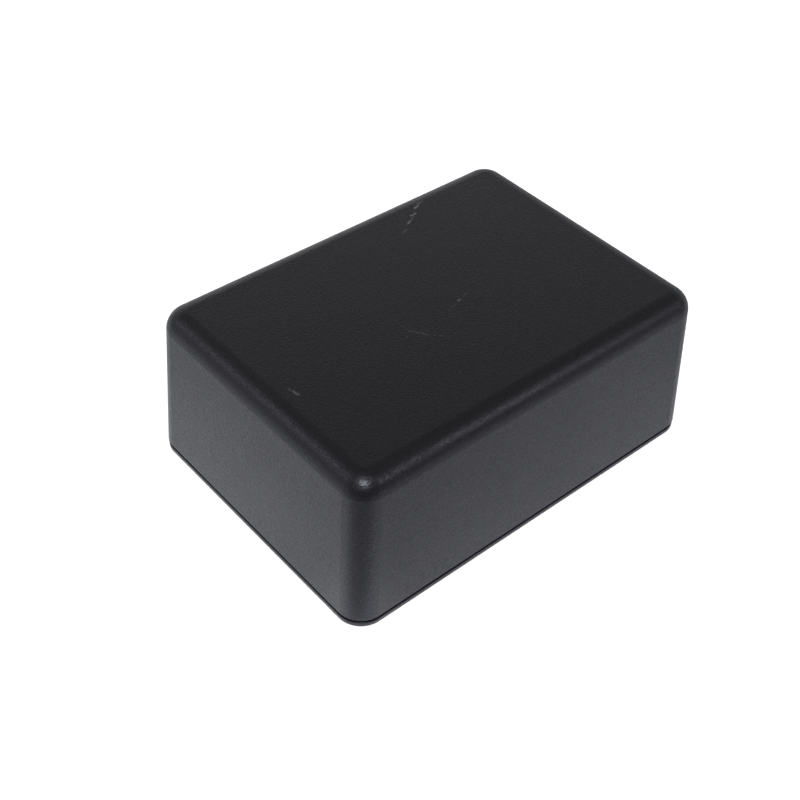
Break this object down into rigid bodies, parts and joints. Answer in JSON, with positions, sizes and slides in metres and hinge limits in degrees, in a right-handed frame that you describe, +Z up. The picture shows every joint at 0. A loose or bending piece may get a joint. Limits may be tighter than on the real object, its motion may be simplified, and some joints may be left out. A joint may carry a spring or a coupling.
{
  "type": "plastic project box",
  "caption": "Small matte plastic enclosure with a deep round-edged cover on a flat base lid, screwed together from below.",
  "frame": {"origin": "centre of the base lid's underside, on the surface that the box stands on", "axes": "+X along the long side of the box, +Y across it, +Z up from the lid towards the top of the cover"},
  "size_m": [0.09, 0.0654, 0.0354],
  "materials": {
    "cover_plastic": "black ABS with a fine spark-eroded grain",
    "lid_plastic": "black ABS with a fine spark-eroded grain",
    "screw_steel": "zinc-plated steel"
  },
  "bodies": {
    "root": {"cover_shell": "cover_plastic", "base_lid": "lid_plastic", "lid_screws": "screw_steel"}
  },
  "joints": []
}
